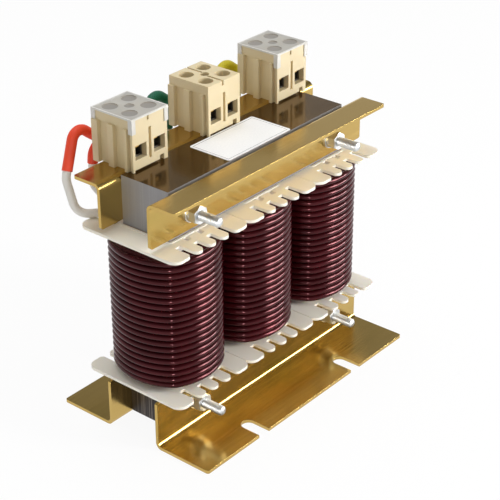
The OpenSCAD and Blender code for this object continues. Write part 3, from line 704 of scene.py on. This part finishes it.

# %% [markdown]
# Covers and plate
#
# The covers of the outer blocks are clear plastic gone cloudy. The wells below show through, and over them
# the haze is also painted darker in rounds, a painted shade of the wells. The rim, which is seen edge on, is
# nearly white. Rough glass could do it, but is slow and noisy to render. A hazy skin that lets part of the light
# through looks the same here: its painted rounds and its rim are drawn by their distance from the cover's
# middle and sides. The rating plate is a silver-white film, and its thin frame line is drawn in the same way, at
# an even distance from the sides.

# %% Covers
def from_middle(mat, node):
    """Distances |x - mx| and |y - my| of a point from the middle of a node's box, and the half sizes."""
    lo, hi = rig.box(node)
    axes = add(mat, "SeparateXYZ", {"Vector": add(mat, "TexCoord").outputs["Object"]}).outputs
    distances = []
    for axis, a, b in (("X", lo.x, hi.x), ("Y", lo.y, hi.y)):
        offset = add(mat, "Math", {0: axes[axis], 1: (a + b) / 2}, operation="SUBTRACT").outputs[0]
        distances.append(add(mat, "Math", {0: offset}, operation="ABSOLUTE").outputs[0])
    return distances, ((hi.x - lo.x) / 2, (hi.y - lo.y) / 2)


def edge_distance(mat, distances, halves):
    """Distance to the nearest of a box's four upright sides: the least of half size less distance."""
    sides = [add(mat, "Math", {0: half, 1: distance}, operation="SUBTRACT").outputs[0]
             for distance, half in zip(distances, halves)]
    return add(mat, "Math", {0: sides[0], 1: sides[1]}, operation="MINIMUM").outputs[0]


# Middle and radius of a clamp's well, one for all four as distances have no sign, and of the fixing well
WELLS = (((7.5 * MM, 7.5 * MM, 0), 4.5 * MM), ((0, 0, 0), 2.9 * MM))


def make_cover(node):
    """Haze with a painted shade, darker where the distance to a well's middle is under its radius, and nearly solid at
    the rim.
    """
    mat, shader = new_material("cloudy_" + node, ior=1.5)
    distances, halves = from_middle(mat, node)
    place = add(mat, "CombineXYZ", {"X": distances[0], "Y": distances[1]}).outputs[0]
    rings = []
    for middle, radius in WELLS:
        away = add(mat, "VectorMath", {0: place, 1: middle}, operation="DISTANCE").outputs["Value"]
        rings.append(add(mat, "Math", {0: away, 1: radius}, operation="SUBTRACT").outputs[0])
    nearest = add(mat, "Math", {0: rings[0], 1: rings[1]}, operation="MINIMUM").outputs[0]
    # Painted shade of the wells below: 1 inside a well's round, 0 outside, over 0.3 mm either side of its edge; it
    # mixes the haze towards a darker grey
    painted_well_shade = spread(mat, nearest, 1.0, 0.0, -0.3 * MM, 0.3 * MM)
    haze = ramp(mat, noise(mat, 60.0), [(0.3, "#D2D0CA"), (0.7, "#E0DED8")])
    tint = add(mat, "Mix", {0: painted_well_shade, 6: haze, 7: linear("#AEAAA4")}, data_type="RGBA").outputs[2]
    link(mat, tint, shader.inputs["Base Color"])
    link(mat, spread(mat, noise(mat, 200.0), 0.3, 0.38), shader.inputs["Roughness"])
    rim = edge_distance(mat, distances, halves)
    link(mat, spread(mat, rim, 0.97, 0.55, 0.5 * MM, 1.1 * MM), shader.inputs["Alpha"])
    return mat


for node in ("cover_left", "cover_right"):
    paint(make_cover(node), node)


# %% Rating plate
def make_plate():
    """Silver-white film with a line where the distance to its sides is 1.6 mm, give or take 0.18 mm."""
    mat, shader = new_material("plate_film", roughness=0.35)
    edge = edge_distance(mat, *from_middle(mat, "rating_plate"))
    line = add(mat, "Math", {0: edge, 1: 1.6 * MM, 2: 0.18 * MM}, operation="COMPARE").outputs[0]
    grain = ramp(mat, noise(mat, 800.0), [(0.3, "#F0F1F2"), (0.7, "#F8F8F8")])
    ink = add(mat, "Mix", {0: line, 6: grain, 7: linear("#8E8E90")}, data_type="RGBA")
    link(mat, ink.outputs[2], shader.inputs["Base Color"])
    return mat


paint(make_plate(), "rating_plate")

# %% [markdown]
# Woven sleeves
#
# The sleeves are woven tubes, whose threads cross slantwise. Threads could be modelled as thin sweeps, but
# they are only a pixel or two wide. So two sine waves cross on the sleeve's own UV map, which holds turns
# round it and metres along it, and the higher wave gives the height of the weave and a painted shade:
# the colour is darker where the weave is low, between the threads.

# %% Sleeve finishes
def make_sleeving(name, dark, light, braid):
    """Weave of height max(sin(p + q), sin(p - q)): p is braid waves a turn, q as steep along the tube."""
    mat, shader = new_material(name, roughness=0.55)
    uv = add(mat, "TexCoord").outputs["UV"]
    axes = add(mat, "SeparateXYZ", {"Vector": uv}).outputs
    around = add(mat, "Math", {0: axes["X"], 1: 2 * pi * braid}, operation="MULTIPLY").outputs[0]
    along = add(mat, "Math", {0: axes["Y"], 1: 2 * braid / (SLEEVE_D * MM)}, operation="MULTIPLY").outputs[0]
    waves = []
    for sign in ("ADD", "SUBTRACT"):
        phase_angle = add(mat, "Math", {0: around, 1: along}, operation=sign).outputs[0]
        waves.append(add(mat, "Math", {0: phase_angle}, operation="SINE").outputs[0])
    weave = add(mat, "Math", {0: waves[0], 1: waves[1]}, operation="MAXIMUM").outputs[0]
    height = spread(mat, weave, 0.0, 1.0, -0.6, 1.0)
    # Painted shade of the weave: dark where it is low, between the threads, and light on the crests
    link(mat, ramp(mat, height, [(0.0, dark), (0.8, light)]), shader.inputs["Base Color"])
    bump(mat, shader, height, 0.05)
    return mat


WHITE_SLEEVE = make_sleeving("woven_glass_sleeve", "#DDD7CA", "#F2EFE8", 14)
SHADES = {"left": ("red", "#E83412", "#F84A1E"), "middle": ("green", "#08573F", "#0C6E50"),
          "right": ("yellow", "#C2B20C", "#D6C61C")}
print("sleeve colours:", ", ".join(shade[0] for shade in SHADES.values()))

# %% Sleeved leads
# The solids' own sizes: height of an entry, play and wall of its cage, how far a former's tube ends over
# its cheek, and the fit and start of a sleeve
ENTRY_Z, CAGE_PLAY, CAGE_WALL = 7.0, 0.6, 1.1
TUBE_END, SLEEVE_FIT = 0.4, 0.1
SLEEVE_START_Y = 43.1
BASE_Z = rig.box("terminal_middle")[0].z / MM
LEAD_Z = BASE_Z + ENTRY_Z + CAGE_PLAY + CAGE_WALL + LEAD_D / 2
PASS_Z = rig.box("former_middle")[1].z / MM - TUBE_END + SLEEVE_D / 2 + SLEEVE_FIT
FOOT_X = 16.2
FOOT_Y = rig.box("lead_middle_a")[0].y / MM + LEAD_D / 2
ROUTES = {
    "a": [[-3, 31.5, LEAD_Z, 0], [-3, 51, LEAD_Z, 5], [-14, 53, BASE_Z + 20, 7], [-28, 48, BASE_Z - 7, 10],
          [-27, 42, PASS_Z, 9], [-FOOT_X, 33, PASS_Z, 5], [-FOOT_X, FOOT_Y, PASS_Z, 4],
          [-FOOT_X, FOOT_Y, COIL_Z[1], 0]],
    "b": [[12, 31.5, LEAD_Z, 0], [12, 51, LEAD_Z, 5], [-4, 50, BASE_Z + 1, 8], [-7, 49, BASE_Z - 18, 10],
          [-2, 44, PASS_Z, 9], [FOOT_X, 33, PASS_Z, 5], [FOOT_X, FOOT_Y, PASS_Z, 4],
          [FOOT_X, FOOT_Y, COIL_Z[1], 0]],
}
# The coloured sleeve ends at this share of the way from the third corner to the fourth
MARKER_END = {"a": 0.86, "b": 0.36}


def dress_lead(phase, x, end):
    """Wire, white sleeve and coloured sleeve of one lead, from one route cut at three lengths."""
    corners = [[c[0] + x, *c[1:]] for c in ROUTES[end]]
    wire = rounded_route(corners)
    outside = [[corners[0][0], SLEEVE_START_Y, LEAD_Z, 0]] + corners[1:]
    stop = corners[-2]
    sleeve = rounded_route(outside[:-2] + [[stop[0], stop[1] + stop[3], stop[2], 0]])
    third, fourth = np.array(corners[2][:3]), np.array(corners[3][:3])
    tip = third + (fourth - third) * MARKER_END[end]
    marker = rounded_route(outside[:3] + [[*tip, 0]])
    colour, dark, light = SHADES[phase]
    weave = colour + "_sleeving"
    sheath = bpy.data.materials.get(weave) or make_sleeving(weave, dark, light, 12)
    pieces = [
        ("lead", wire, LEAD_D, ENAMEL, "enamelled_wire"),
        ("sleeve", sleeve, SLEEVE_D, WHITE_SLEEVE, "white_sleeve"),
        ("marker", marker, MARKER_D, sheath, colour + "_sleeve"),
    ]
    for kind, path, d, mat, slot in pieces:
        name = f"{kind}_{phase}_{end}"
        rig.replaces(tube_mesh("dressed_" + name, [sweep(path * MM, d / 2 * MM)], mat, slot), name)


for phase, phase_x in PHASES.items():
    for end in ROUTES:
        dress_lead(phase, phase_x, end)

# %% Keep the sizes and finish
with open("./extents.json", "w") as f:
    json.dump({"cad": [list(v) for v in CAD_BOUNDS], "visual": [list(v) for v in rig.bounds()]}, f)
print(open("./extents.json").read())
